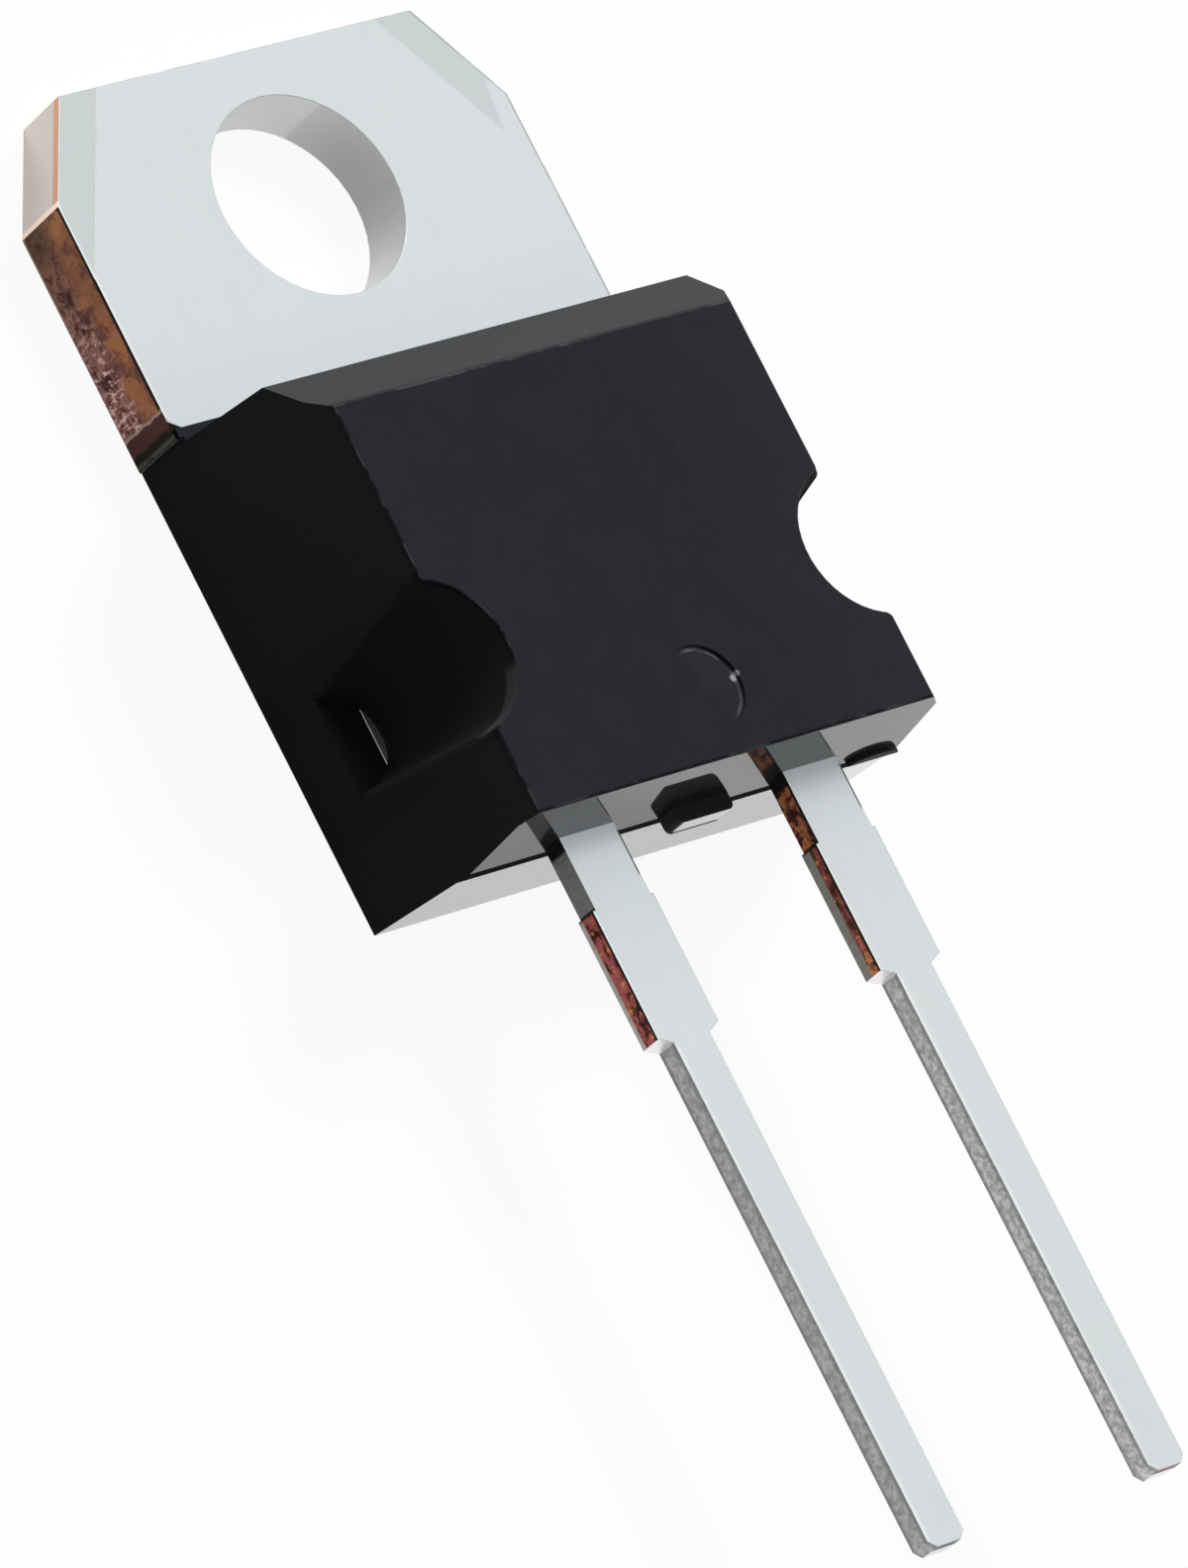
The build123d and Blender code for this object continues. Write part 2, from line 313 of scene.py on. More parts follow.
def side_notches(g, inside_flank):
    """Masks of the side notches: walls, walls with floor, a painted highlight on the rim, and walls
    with their mouth.
    """
    along = g.minus(g.y, NOTCH_Y)
    from_axis = g.length(g.minus(g.across, NOTCH_X), along)
    not_level = g.below(g.nz, 0.85, 0.05)
    walls = g.times(
        g.below(from_axis, NOTCH_RADIUS + 0.2, 0.04),
        not_level,
        g.above(inside_flank, 0.04, 0.02),
    )
    floor_part = g.times(
        g.below(from_axis, NOTCH_RADIUS, 0.04),
        g.below(g.z, TAB_THICKNESS + 0.1, 0.05),
    )
    rim = g.times(
        g.between(from_axis, NOTCH_RADIUS - 0.10, NOTCH_RADIUS + 0.02, 0.03),
        g.between(along, -1.45, -0.45, 0.12),
        g.above(g.z, BODY_FRONT_Z - 0.25, 0.05),
    )
    with_mouth = g.times(
        g.below(from_axis, NOTCH_RADIUS + 0.5, 0.1),
        not_level,
        g.above(inside_flank, 0.01, 0.005),
    )
    return walls, g.larger(walls, floor_part), rim, with_mouth


def lead_end(g):
    """Masks of the end faces at the leads: black parting line, polished rest, and nub."""
    on_wall = g.between(g.y, LEAD_END_Y - 0.015, LEAD_END_Y + 0.8, 0.005)
    on_nub = g.below(g.y, LEAD_END_Y - 0.2, 0.05)
    parting = g.larger(
        g.times(g.between(g.z, LEAD_BACK_Z - 0.36, LEAD_BACK_Z + 0.02, 0.012), on_wall),
        g.times(g.below(g.z, LEAD_BACK_Z + 0.07, 0.012), on_nub),
    )
    parting = g.times(parting, g.faces_leads)
    polished = g.times(g.faces_leads, g.opposite(parting), g.larger(on_wall, on_nub))
    return parting, polished, on_nub


def mirror_part(g, polished, on_nub):
    """Mask and colour of the polished faces that mirror the floor at a flat angle of view."""
    low_half = g.below(g.z, LEAD_BACK_Z, 0.02)
    facing = g.add("ShaderNodeLayerWeight").outputs["Facing"]
    mask = g.times(polished, g.above(facing, 0.62, 0.12), g.larger(low_half, on_nub))
    tone = g.blend(on_nub, 0.38, 0.60)
    return mask, g.add("ShaderNodeCombineColor", tone, tone, tone).outputs[0]


def ejector_mark(g, colour):
    """Paints a highlight along the inner edge of the ejector mark, and small bright spots of
    painted highlight on it.
    """
    along = g.minus(g.y, MARK_Y)
    from_middle = g.length(g.x, along)
    deep_side = g.plus(g.times(g.x, MARK_DEEP_WAY[0]), g.times(along, MARK_DEEP_WAY[1]))
    on_front = g.above(g.z, BODY_FRONT_Z - 0.2, 0.1)
    # Painted highlight along the inner edge, on the mark's deep side.
    ring_highlight = g.times(
        g.between(from_middle, MARK_RADIUS - 0.10, MARK_RADIUS - 0.05, 0.015),
        g.above(deep_side, 0.15, 0.12),
        g.patches(0.48, 0.08, 2.6, 2.0, 0.5),
        on_front,
    )
    colour = g.paint(colour, MARK_RING_HIGHLIGHT, ring_highlight, 0.9)
    # Painted highlights: small bright spots on the mark.
    for glint_x, glint_y, radius in MARK_GLINTS:
        from_glint = g.length(g.minus(g.x, glint_x), g.minus(g.y, glint_y))
        colour = g.paint(colour, MARK_GLINT, g.below(from_glint, radius, 0.03), on_front)
    return colour


def moulding_compound():
    g = PartGraph("black_moulding_compound")
    grain = g.noise(24.0, 3.0, 0.6)
    flow = g.noise(0.55, 3.0, 0.5, distortion=0.6)
    specks = g.patches(0.68, 0.04, 52.0, 1.0, 0.5)

    inside_flank = g.minus(TAB_HALF, g.plus(g.across, g.times(g.z, SIDE_SLOPE)))
    notch_walls, in_notch, notch_rim_highlight, notch_with_mouth = side_notches(g, inside_flank)
    parting, polished, on_nub = lead_end(g)
    mirror, mirror_colour = mirror_part(g, polished, on_nub)
    flank = g.times(g.above(g.size(g.nx), 0.93, 0.04), g.below(inside_flank, 0.04, 0.02))

    colour = g.mix(flow, RESIN_DARK, RESIN_LIGHT)
    colour = g.paint(colour, RESIN_GRAIN, grain, 0.35)
    colour = g.paint(colour, RESIN_SPECK, specks, 0.25)
    lit_side = g.times(g.above(g.x, LIT_SIDE_X, 2.0), g.above(g.nz, 0.9, 0.05))
    colour = g.paint(colour, RESIN_LIT, lit_side, 0.28)
    # Painted light: the bevel at the tab end is painted lighter than the front face.
    lit_tab_end_bevel = g.times(g.above(g.ny, 0.5, 0.1), g.above(g.nz, 0.4, 0.1))
    colour = g.paint(colour, g.mix(grain, BEVEL_LIT_DARK, BEVEL_LIT_LIGHT), lit_tab_end_bevel)
    dark_side = g.times(g.above(g.size(g.nx), 0.55, 0.08), g.opposite(in_notch))
    shaded = g.larger(g.times(dark_side, 0.7), g.times(in_notch, 0.5))
    colour = g.paint(colour, RESIN_SHADED, shaded)
    # Painted shade: the flat flanks of the body are painted almost black.
    colour = g.paint(colour, RESIN_FLANK_SHADE, flank, 0.92)
    # Painted shade: the rounded edge round the front face is painted darker.
    front_edge = g.times(
        g.between(g.nz, 0.12, 0.985, 0.02),
        g.above(g.z, BODY_FRONT_Z - 0.08, 0.01),
    )
    colour = g.paint(colour, FRONT_EDGE_SHADE, front_edge, 0.6)
    # Painted highlight: lighter patches along that rounded edge.
    edge_highlight = g.times(g.above(g.nz, 0.7, 0.05), g.patches(0.53, 0.05, 1.1, 3.0, 0.6))
    colour = g.paint(colour, FRONT_EDGE_HIGHLIGHT, front_edge, edge_highlight)
    # Painted highlight on the front rim of the notches.
    colour = g.paint(colour, NOTCH_RIM_HIGHLIGHT, notch_rim_highlight, 0.7)
    # Painted light: the nub is painted lighter than the resin round it.
    colour = g.paint(colour, NUB_PAINTED_LIGHT, g.below(g.y, LEAD_END_Y - 0.03, 0.01), 0.8)
    colour = g.paint(colour, PARTING_LINE, parting)
    colour = g.paint(colour, mirror_colour, mirror)
    colour = ejector_mark(g, colour)

    roughness = g.plus(0.56, g.times(g.minus(grain, 0.5), 0.18))
    roughness = g.blend(g.larger(notch_walls, parting), roughness, 0.98)
    roughness = g.blend(mirror, roughness, 0.10)

    # Bumps and rounded edges would show the facets of the notches, so they stop there
    away = g.opposite(notch_with_mouth)
    height = g.times(g.plus(grain, g.times(flow, 0.3)), away)
    base_normal = g.blend_normals(flank, g.rounded(0.035, away), g.true_normal)
    return g.finish(
        Base_Color=colour,
        Metallic=mirror,
        Roughness=roughness,
        Normal=g.bump(height, 0.0045, base_normal),
        Specular_IOR_Level=0.06,
        Coat_Weight=polished,
        Coat_Roughness=0.03,
        Coat_IOR=1.8,
    )


# Colours of the tin on the flat faces, and of painted shade and highlights on them
TIN_DULL = (0.705, 0.765, 0.762)
TIN_BRIGHT = (0.752, 0.786, 0.800)
TIN_ROLLED = (0.62, 0.67, 0.69)
TIN_COINED = (0.57, 0.62, 0.62)
TIN_SHADE_NEAR_BODY = (0.48, 0.54, 0.58)
TIN_HIGHLIGHT_AT_WALL = (0.92, 0.96, 1.0)
TIN_SHADE_BESIDE_BODY = (0.50, 0.55, 0.61)
TIN_FAR_EDGE = (0.36, 0.33, 0.33)
TIN_WEB = (0.05, 0.055, 0.055)
TIN_BURR_HIGHLIGHT = (0.93, 0.95, 0.95)
RESIN_ON_TIN = (0.012, 0.012, 0.010)

# Colours of the walls that were tinned over, and of painted shade and light in the hole
HOLE_PLAIN = (0.82, 0.82, 0.81)
HOLE_SHADE = (0.46, 0.46, 0.45)
HOLE_PAINTED_LIGHT = (0.88, 0.88, 0.87)
CORNER_DARK = (0.60, 0.545, 0.50)
CORNER_LIGHT = (0.68, 0.62, 0.57)
CORNER_COPPER = (0.64, 0.34, 0.20)
CORNER_SHEARED = (0.98, 0.80, 0.64)
SHOULDER = (0.98, 0.945, 0.955)

# Colours of the tab's bare sides, and of a painted highlight and shadow on them
COPPER_DARK = (0.165, 0.062, 0.038)
COPPER_LIGHT = (0.360, 0.160, 0.080)
COPPER_ORANGE = (0.430, 0.185, 0.075)
COPPER_STAIN = (0.130, 0.050, 0.044)
COPPER_PIT = (0.022, 0.010, 0.012)
COPPER_TARNISHED = (0.060, 0.042, 0.026)
COPPER_FLECK = (0.78, 0.50, 0.50)
COPPER_BASE_HIGHLIGHT = (0.36, 0.25, 0.19)
TORN_DARK = (0.050, 0.018, 0.018)
TORN_TAN = (0.250, 0.125, 0.090)
TORN_PINK = (0.350, 0.180, 0.160)
FLASH_DARK = (0.028, 0.011, 0.010)
FLASH_LIGHT = (0.120, 0.052, 0.046)
FLASH_THICK = (0.010, 0.011, 0.008)
FIRST_BURR = (0.36, 0.27, 0.22)
SECOND_BURR = (0.11, 0.105, 0.095)
EDGE_SHADOW = (0.016, 0.012, 0.010)

# Colours of the leads' sides and tips, and of painted shade on them
SHAFT_DARK = (0.36, 0.36, 0.345)
SHAFT_LIGHT = (0.66, 0.665, 0.66)
SHAFT_CATHODE = (0.22, 0.22, 0.215)
SHAFT_EDGE = (0.20, 0.20, 0.19)
RED_DARK = (0.050, 0.012, 0.010)
RED_LIGHT = (0.430, 0.115, 0.108)
RED_ANODE = (0.130, 0.050, 0.024)
RED_GOLDEN = (0.66, 0.30, 0.10)
BURNISHED_DARK = (0.34, 0.33, 0.30)
BURNISHED_LIGHT = (0.56, 0.54, 0.51)
BURNISHED_ANODE = (0.150, 0.148, 0.130)
NECK_DARK = (0.165, 0.170, 0.158)
NECK_LIGHT = (0.265, 0.270, 0.252)
NECK_ROOT_SHADE = (0.010, 0.009, 0.007)
TAN_DARK = (0.070, 0.020, 0.014)
TAN_LIGHT = (0.520, 0.190, 0.085)
TAN_STAIN = (0.020, 0.008, 0.008)
STEP_SHADOW = (0.010, 0.006, 0.006)
TIP_END = (0.96, 0.96, 0.96)
TIP_LINE_CATHODE = (0.055, 0.050, 0.048)
TIP_LINE_DARK = (0.08, 0.02, 0.02)
TIP_LINE_RED = (0.36, 0.06, 0.08)


def tinned_faces(g, cloud, rolling, corner, is_anode):
    """Colour of the flat faces, with the marks of rolling, coining, shearing and moulding, and
    painted shade and highlights.
    """
    tin = g.mix(cloud, TIN_DULL, TIN_BRIGHT)
    tin = g.paint(tin, TIN_ROLLED, g.above(rolling, 0.55, 0.2), 0.15)
    coined = g.times(
        g.above(corner, CORNER_DISTANCE - COINED_WIDTH, 0.03),
        g.above(g.y, COINED_FADE_Y, 0.9),
    )
    flattened = g.times(
        g.above(g.minus(g.x, g.times(g.y, FLATTENED_LEAN)), FLATTENED_X, 0.04),
        g.below(g.y, FLATTENED_END_Y, 0.12),
    )
    tin = g.paint(tin, TIN_COINED, coined, g.opposite(flattened), 0.6)

    # Painted shade on the faces of the leads near the body.
    shade_near_body = g.times(
        g.above(g.y, LEAD_END_Y - 2.6, 1.6),
        g.below(g.y, LEAD_END_Y + 1.0, 0.1),
    )
    tin = g.paint(tin, TIN_SHADE_NEAR_BODY, shade_near_body, 0.10)
    # Painted highlight on the faces of the leads right at the body's wall, stronger on the cathode
    # lead.
    highlight_at_wall = g.between(g.y, LEAD_END_Y - 0.5, LEAD_END_Y + 1.0, 0.35)
    tin = g.paint(tin, TIN_HIGHLIGHT_AT_WALL, highlight_at_wall, g.blend(is_anode, 0.6, 0.15))
    # Painted shade on the tin beside the body.
    tin = g.paint(tin, TIN_SHADE_BESIDE_BODY, g.between(g.y, BODY_SHADE_START_Y, BODY_SHADE_END_Y, 0.9), 0.14)

    side_or_end = g.larger(
        g.above(g.x, TAB_HALF - 0.035, 0.01),
        g.above(g.y, TAB_END_Y - 0.03, 0.01),
    )
    right_corner = g.times(
        g.above(corner, CORNER_DISTANCE - 0.035, 0.01),
        g.above(g.x, 0.0, 0.1),
    )
    far_edge = g.times(
        g.larger(side_or_end, right_corner),
        g.patches(0.42, 0.12, 1.6, 4.0, 0.6),
        g.above(g.y, FAR_EDGE_END_Y, 0.1),
    )
    tin = g.paint(tin, TIN_FAR_EDGE, far_edge, 0.7)

    in_lead = g.minus(g.x, g.times(g.math("SIGN", g.x), LEAD_X))
    web = g.times(
        g.above(in_lead, NECK_HALF - 0.035, 0.01),
        g.between(g.y, LEAD_END_Y - 0.95, LEAD_END_Y - 0.1, 0.05),
    )
    tin = g.paint(tin, TIN_WEB, web, 0.85)
    # The burrs on the edges that face left are painted as near-white lines, a painted highlight.
    stub_burr_highlight = g.times(
        g.below(in_lead, 0.035 - STUB_HALF, 0.01),
        g.below(g.y, LEAD_END_Y - 1.3, 0.01),
    )
    shaft_burr_highlight = g.times(
        g.below(in_lead, 0.06 - LEAD_HALF, 0.03),
        g.below(g.y, STUB_END_Y - 0.2, 0.1),
        g.above(rolling, 0.42, 0.1),
    )
    tab_burr_highlight = g.times(
        g.below(g.x, 0.04 - TAB_HALF, 0.01),
        g.above(g.y, TAB_BURR_HIGHLIGHT_END_Y, 0.02),
    )
    tin = g.paint(tin, TIN_BURR_HIGHLIGHT, g.larger(g.larger(stub_burr_highlight, tab_burr_highlight), shaft_burr_highlight), 0.8)

    from_left = g.plus(g.x, TAB_HALF)
    resin_edge = g.times(
        g.below(g.plus(g.y, g.times(from_left, RESIN_EDGE_LEAN)), RESIN_EDGE_Y, 0.02),
        g.below(from_left, RESIN_EDGE_WIDTH, 0.02),
        g.above(g.y, RESIN_EDGE_END_Y, 0.1),
    )
    return g.paint(tin, RESIN_ON_TIN, resin_edge)


def tinned_walls(g, cloud, corner):
    """Colour of the hole, the tab's end, the cut corners and the shoulders of the leads, with
    painted shade and light in the hole.
    """
    degrees = g.times(g.math("ARCTAN2", g.y, g.x), 180.0 / pi)
    # Painted shade on the hole's wall between two angles, and painted light past the last one.
    hole_shade = g.times(
        g.above(degrees, HOLE_SHADE_START, 34.0),
        g.below(degrees, HOLE_SHADE_END, 40.0),
    )
    hole = g.mix(hole_shade, HOLE_PLAIN, HOLE_SHADE)
    hole = g.paint(hole, HOLE_PAINTED_LIGHT, g.above(degrees, HOLE_PAINTED_LIGHT_START, 1.0), 0.45)
    in_hole = g.below(g.length(g.x, g.y), HOLE_REACH, 0.1)
    walls = g.mix(in_hole, g.mix(cloud, CORNER_DARK, CORNER_LIGHT), hole)

    on_corner = g.above(corner, CORNER_DISTANCE - 0.05, 0.01)
    copper_line = g.above(g.z, TAB_THICKNESS - 0.20, 0.03)
    walls = g.paint(walls, CORNER_COPPER, copper_line, on_corner)
    sheared_line = g.above(g.across, TAB_HALF - 0.06, 0.015)
    walls = g.paint(walls, CORNER_SHEARED, sheared_line, on_corner)
    shoulder = g.between(g.y, STUB_END_Y - 0.4, STUB_END_Y + 0.2, 0.02)
    return g.paint(walls, SHOULDER, shoulder)


def tab_sides(g, drag, mottle):
    """Colour of the tab's bare sides: sheared in front, torn behind, with resin at the body."""
    low_part = g.below(g.z, TORN_HEIGHT, 0.22)
    copper = g.mix(drag, COPPER_DARK, COPPER_LIGHT)
    copper = g.paint(copper, COPPER_ORANGE, g.patches(0.52, 0.10, 0.9, 3.0, 0.5), 0.5)
    copper = g.paint(copper, COPPER_STAIN, g.patches(0.54, 0.08, 2.2, 5.0, 0.65), 0.9)
    torn_light = g.mix(g.below(g.y, RAW_START_Y, 1.6), TORN_TAN, TORN_PINK)
    torn = g.mix(g.above(mottle, 0.49, 0.10), TORN_DARK, torn_light)
    copper = g.paint(copper, torn, low_part, 0.9)
    pits = g.times(
        g.below(g.cells(4.5, g.stretched(1.0, 0.8, 1.4)), 0.24, 0.07),
        g.below(g.y, PITS_START_Y, 0.8),
    )
    copper = g.paint(copper, COPPER_PIT, pits, low_part, 0.85)
    tarnished = g.above(g.plus(g.y, g.times(mottle, 0.8)), TARNISHED_Y, 0.2)
    copper = g.paint(copper, COPPER_TARNISHED, tarnished, low_part, 0.6)
    flecks = g.times(
        g.patches(0.57, 0.05, 7.0, 4.0, 0.7, g.stretched(1.0, 1.5, 0.8)),
        g.below(g.y, RAW_START_Y, 0.9),
    )
    copper = g.paint(copper, COPPER_FLECK, flecks, low_part, 0.9)
    copper = g.paint(copper, EDGE_SHADOW, g.above(g.z, TAB_THICKNESS - 0.08, 0.02))
    # Painted highlight along the bottom edge of the tab's sides.
    copper = g.paint(copper, COPPER_BASE_HIGHLIGHT, g.below(g.z, 0.05, 0.02), 0.5)

    ragged = g.plus(g.y, g.times(g.minus(g.noise(3.0, 3.0, 0.6), 0.5), 0.16))
    flash = g.below(ragged, FLASH_START_Y, 0.02)
    copper = g.paint(copper, g.mix(mottle, FLASH_DARK, FLASH_LIGHT), flash)
    copper = g.paint(copper, FLASH_THICK, g.below(ragged, THICK_FLASH_Y, 0.04))
    first_burr = g.between(ragged, FLASH_START_Y, FLASH_START_Y + 0.055, 0.015)
    copper = g.paint(copper, FIRST_BURR, first_burr, 0.8)
    second_burr = g.times(
        g.between(g.y, BODY_START_Y + 0.03, BODY_START_Y + 0.11, 0.025),
        g.patches(0.42, 0.12, 2.4, 3.0, 0.6),
    )
    return g.paint(copper, SECOND_BURR, second_burr, 0.55)


def shaft_sides(g, is_anode):
    """Colour of the shafts' sides, which is a little darker on the cathode lead."""
    grey = g.mix(g.patches(0.5, 0.15, 7.0, 4.0, 0.7), SHAFT_DARK, SHAFT_LIGHT)
    grey = g.paint(grey, SHAFT_CATHODE, g.opposite(is_anode), 0.38)
    edges = g.larger(
        g.above(g.z, LEAD_FRONT_Z - 0.09, 0.04),
        g.below(g.z, LEAD_BACK_Z + 0.07, 0.03),
    )
    return g.paint(grey, SHAFT_EDGE, edges, 0.6)


def stub_sides(g, patch, is_anode):
    """Colour where the tie bar was cut off: bare copper in front and burnished metal behind."""
    red = g.mix(g.above(patch, 0.47, 0.10), RED_DARK, RED_LIGHT)
    red = g.paint(red, RED_ANODE, is_anode, 0.35)
    stub_foot = g.times(g.below(g.y, STUB_END_Y + 0.5, 0.15), is_anode)
    golden = g.above(g.plus(g.noise(7.5, 3.0, 0.6), g.times(stub_foot, 0.12)), 0.61, 0.03)
    red = g.paint(red, RED_GOLDEN, golden, 0.8)
    red = g.paint(red, EDGE_SHADOW, g.above(g.z, LEAD_FRONT_Z - 0.06, 0.02))
    burnished = g.mix(g.noise(6.0, 3.0, 0.5), BURNISHED_DARK, BURNISHED_LIGHT)
    burnished = g.paint(burnished, BURNISHED_ANODE, is_anode, 0.55)
    front_part = g.above(g.minus(g.z, g.times(is_anode, 0.11)), LEAD_BACK_Z + 0.10, 0.03)
    return g.mix(front_part, burnished, red)


def neck_sides(g, patch, is_anode):
    """Colour next to the body: grey on the cathode lead and stained copper on the anode lead, with
    painted shade at the root.
    """
    grey = g.mix(g.noise(9.0, 3.0, 0.5), NECK_DARK, NECK_LIGHT)
    tan = g.mix(g.patches(0.50, 0.07, 6.5, 5.0, 0.65), TAN_DARK, TAN_LIGHT)
    tan = g.paint(tan, TAN_STAIN, g.above(patch, 0.56, 0.04), 0.8)
    tan = g.paint(tan, EDGE_SHADOW, g.above(g.z, LEAD_FRONT_Z - 0.06, 0.02))
    neck = g.mix(is_anode, grey, tan)
    # Painted shade at the root of the neck sides, next to the body.
    return g.paint(neck, NECK_ROOT_SHADE, g.above(g.y, LEAD_END_Y - 0.22, 0.04))


def lead_sides(g, shaft, patch, is_anode):
    on_stub = g.between(g.y, STUB_END_Y, STUB_START_Y, 0.01)
    on_neck = g.above(g.y, STUB_START_Y, 0.01)
    colour = g.paint(shaft, stub_sides(g, patch, is_anode), on_stub)
    colour = g.paint(colour, neck_sides(g, patch, is_anode), on_neck)
    step = g.between(g.y, STUB_START_Y - 0.03, STUB_START_Y + 0.05, 0.02)
    return g.paint(colour, STEP_SHADOW, step, 0.9)


def lead_tips(g, shaft, patch, is_anode):
    """Colour of a bright sheared end with a dark line under the front edge, and dull corners."""
    colour = g.paint(shaft, TIP_END, g.faces_leads)
    anode_line = g.mix(patch, TIP_LINE_DARK, TIP_LINE_RED)
    line = g.above(g.z, LEAD_FRONT_Z - 0.19, 0.02)
    return g.paint(colour, g.mix(is_anode, TIP_LINE_CATHODE, anode_line), line, g.faces_leads)


def tinned_copper():
    g = PartGraph("tinned_copper_strip")
    cloud = g.noise(0.5, 3.0, 0.5)
    rolling = g.noise(1.0, 4.0, 0.55, g.stretched(9.0, 0.5, 9.0))
    fine = g.noise(30.0, 3.0, 0.6)
    drag = g.noise(1.0, 5.0, 0.6, g.stretched(1.0, 9.0, 2.2))
    mottle = g.noise(3.6, 7.0, 0.72, g.stretched(1.0, 1.0, 1.3), 0.8)
    patch = g.noise(5.0, 5.0, 0.65, g.stretched(1.0, 0.8, 1.6))

    corner = g.plus(g.times(g.across, CORNER_NORMAL[0]), g.times(g.y, CORNER_NORMAL[1]))
    coined_line = g.below(g.size(g.minus(corner, CORNER_DISTANCE - COINED_WIDTH)), 0.06, 0.02)
    is_anode = g.above(g.x, 0.0, 0.01)
    wall = g.below(g.size(g.nz), 0.5, 0.1)
    side = g.above(g.size(g.nx), 0.93, 0.02)
    lead_side = g.times(g.below(g.y, LEAD_END_Y + 1.5, 0.01), side)
    tab_side = g.times(
        side,
        g.above(g.y, BODY_START_Y - 0.02, 0.01),
        g.above(g.across, TAB_HALF - 0.05, 0.01),
    )

    shaft = shaft_sides(g, is_anode)
    walls = tinned_walls(g, cloud, corner)
    on_tip = g.below(g.y, TIP_Y + 0.3, 0.01)
    walls = g.paint(walls, lead_tips(g, shaft, patch, is_anode), on_tip)
    walls = g.paint(walls, lead_sides(g, shaft, patch, is_anode), lead_side)
    walls = g.paint(walls, tab_sides(g, drag, mottle), tab_side)
    colour = g.mix(wall, tinned_faces(g, cloud, rolling, corner, is_anode), walls)

    bare = g.times(wall, g.larger(tab_side, lead_side))
    roughness = g.blend(bare, g.plus(0.36, g.times(g.minus(fine, 0.5), 0.12)), 0.62)
    face_height = g.plus(g.times(rolling, 0.35), g.times(fine, 0.3))
    torn_height = g.plus(g.times(mottle, 3.0), g.times(drag, 2.0))
    height = g.blend(bare, face_height, torn_height)
    bump = g.bump(height, 0.006, g.rounded(0.03, g.opposite(coined_line)))
    return g.finish(Base_Color=colour, Roughness=roughness, Metallic=1.0, Normal=bump)


def inner_metal(name, low, high, scale, rough):
    g = Graph(name)
    cloud = g.noise(scale, 4.0, 0.6)
    return g.finish(
        Base_Color=g.mix(cloud, low, high),
        Roughness=g.remap(cloud, 0.3, 0.7, rough, rough + 0.15),
        Metallic=1.0,
        Normal=g.bump(cloud, 0.004),
    )


def silicon():
    g = Graph("silicon_chip")
    cloud = g.noise(2.0, 3.0, 0.5)
    return g.finish(
        Base_Color=g.mix(cloud, (0.10, 0.10, 0.125), (0.16, 0.16, 0.19)),
        Roughness=g.remap(cloud, 0.3, 0.7, 0.12, 0.25),
        Normal=g.bump(cloud, 0.001),
    )


def mostly_white(g, shader_output):
    """Mixes white into what the camera, and less so mirrors and glass, see of the floor."""
    path = g.add("ShaderNodeLightPath").outputs
    mirrored = g.larger(path["Is Glossy Ray"], path["Is Transmission Ray"])
    by_camera = g.times(path["Is Camera Ray"], FLOOR_WHITE)
    share = g.larger(by_camera, g.times(mirrored, MIRRORED_WHITE))
    white = g.add("ShaderNodeEmission", (1.0, 1.0, 1.0), 1.0)
    mix = g.add("ShaderNodeMixShader", share)
    g.tree.links.new(shader_output, mix.inputs[1])
    g.tree.links.new(white.outputs[0], mix.inputs[2])
    return mix.outputs[0]


def floor():
    g = Graph("pale_floor")
    paper = g.noise(0.02, 3.0, 0.5)
    colour = g.mix(paper, (0.93, 0.93, 0.93), (0.95, 0.95, 0.95))
    diffuse = g.add("ShaderNodeBsdfDiffuse", colour)
    output = g.add("ShaderNodeOutputMaterial")
    g.tree.links.new(mostly_white(g, diffuse.outputs[0]), output.inputs[0])
    mesh = bpy.data.meshes.new("floor")
    ways = ((-1, -1), (1, -1), (1, 1), (-1, 1))
    corners = [(FLOOR_HALF * x, FLOOR_HALF * y, FLOOR_LEVEL) for x, y in ways]
    mesh.from_pydata(corners, [], [(0, 1, 2, 3)])
    plane = bpy.data.objects.new("floor", mesh)
    bpy.context.scene.collection.objects.link(plane)
    mesh.materials.append(g.owner)


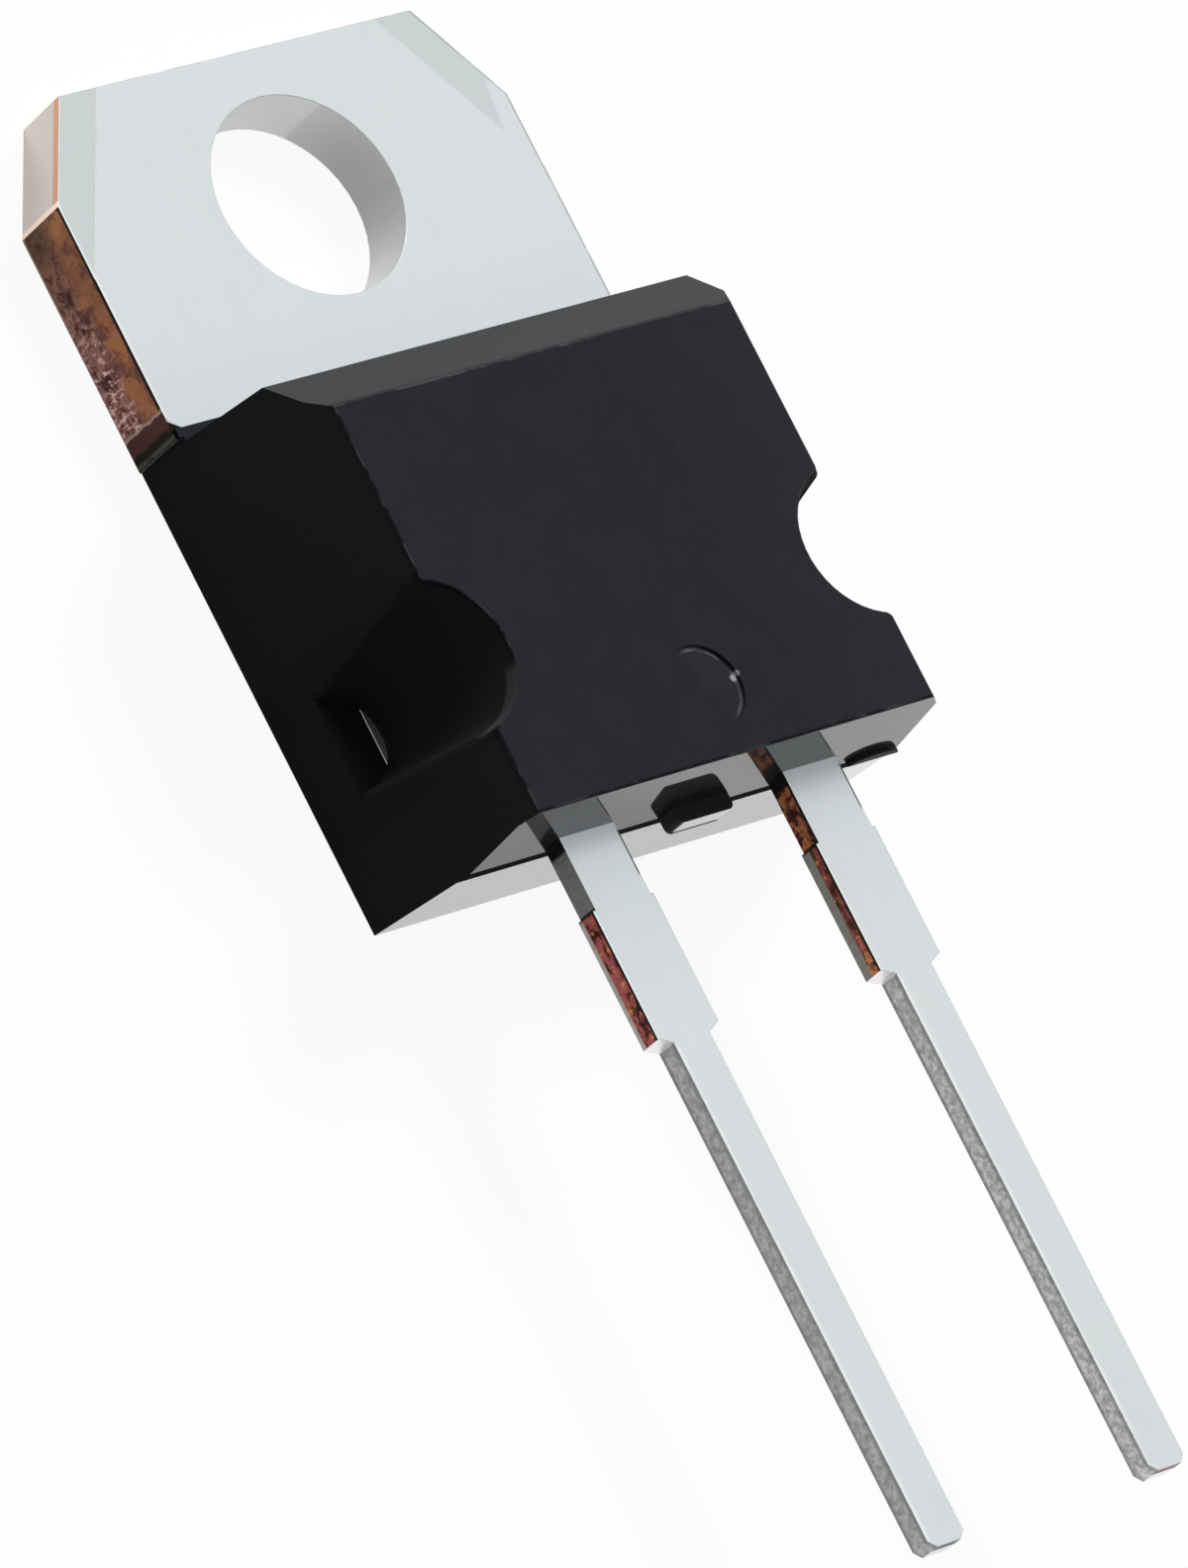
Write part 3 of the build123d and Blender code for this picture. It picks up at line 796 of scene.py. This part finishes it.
def world():
    """Even studio surround, with a grey panel high over the leads, dimmer as light than as seen."""
    g = Graph("studio", bpy.data.worlds.new("studio"))
    bpy.context.scene.world = g.owner
    path = g.add("ShaderNodeLightPath").outputs
    direction = g.parts(g.add("ShaderNodeTexCoord").outputs["Generated"])
    mirrored = g.larger(path["Is Glossy Ray"], path["Is Transmission Ray"])
    on_panel = g.times(g.below(direction[1], -0.15, 0.2), g.above(direction[2], 0.45, 0.15))
    in_mirror = g.blend(on_panel, 1.0, GREY_PANEL)
    strength = g.blend(mirrored, DIFFUSE_SURROUND, in_mirror)
    strength = g.blend(path["Is Camera Ray"], strength, 1.0)
    background = g.add("ShaderNodeBackground", (1.0, 1.0, 1.0), strength)
    output = g.add("ShaderNodeOutputWorld")
    g.tree.links.new(background.outputs[0], output.inputs[0])


def lamp(name, place, size, power):
    """Round soft lamp that points at the part. The place and the size are in metres."""
    light = bpy.data.lights.new(name, "AREA")
    light.shape = "DISK"
    light.size = size
    light.energy = power
    holder = bpy.data.objects.new(name, light)
    holder.location = place
    heading = Vector(LAMP_TARGET) - Vector(place)
    holder.rotation_euler = heading.to_track_quat("-Z", "Y").to_euler()
    bpy.context.scene.collection.objects.link(holder)
    return holder


def camera():
    data = bpy.data.cameras.new("photo_camera")
    data.lens = LENS_MM
    data.sensor_width = SENSOR_MM
    data.clip_start = NEAR_CLIP
    data.clip_end = FAR_CLIP
    holder = bpy.data.objects.new("photo_camera", data)
    holder.matrix_world = Matrix(CAMERA_MATRIX)
    bpy.context.scene.collection.objects.link(holder)
    bpy.context.scene.camera = holder


for default in list(bpy.data.objects):
    bpy.data.objects.remove(default)
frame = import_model()

copper_strip = tinned_copper()
wire_metal = inner_metal("drawn_aluminium", (0.70, 0.70, 0.71), (0.80, 0.80, 0.81), 6.0, 0.35)
dress = {
    "moulded_body": moulding_compound(),
    "heatsink_with_cathode_lead": copper_strip,
    "anode_lead": copper_strip,
    "schottky_die": silicon(),
    "die_solder": inner_metal(
        "die_solder_alloy", (0.42, 0.43, 0.45), (0.55, 0.56, 0.58), 3.0, 0.45
    ),
    "bond_wire_1": wire_metal,
    "bond_wire_2": wire_metal,
}
for node, material in dress.items():
    for slot in frame["nodes"][node].material_slots:
        slot.material = material

floor()
world()
key = lamp("softbox_right", place=(0.42, 0.27, 0.49), size=0.26, power=4.4)
key.visible_glossy = False
lamp("softbox_back", place=(-0.10, 0.58, 0.34), size=0.30, power=1.2)
camera()
bpy.context.scene.view_settings.view_transform = "Standard"
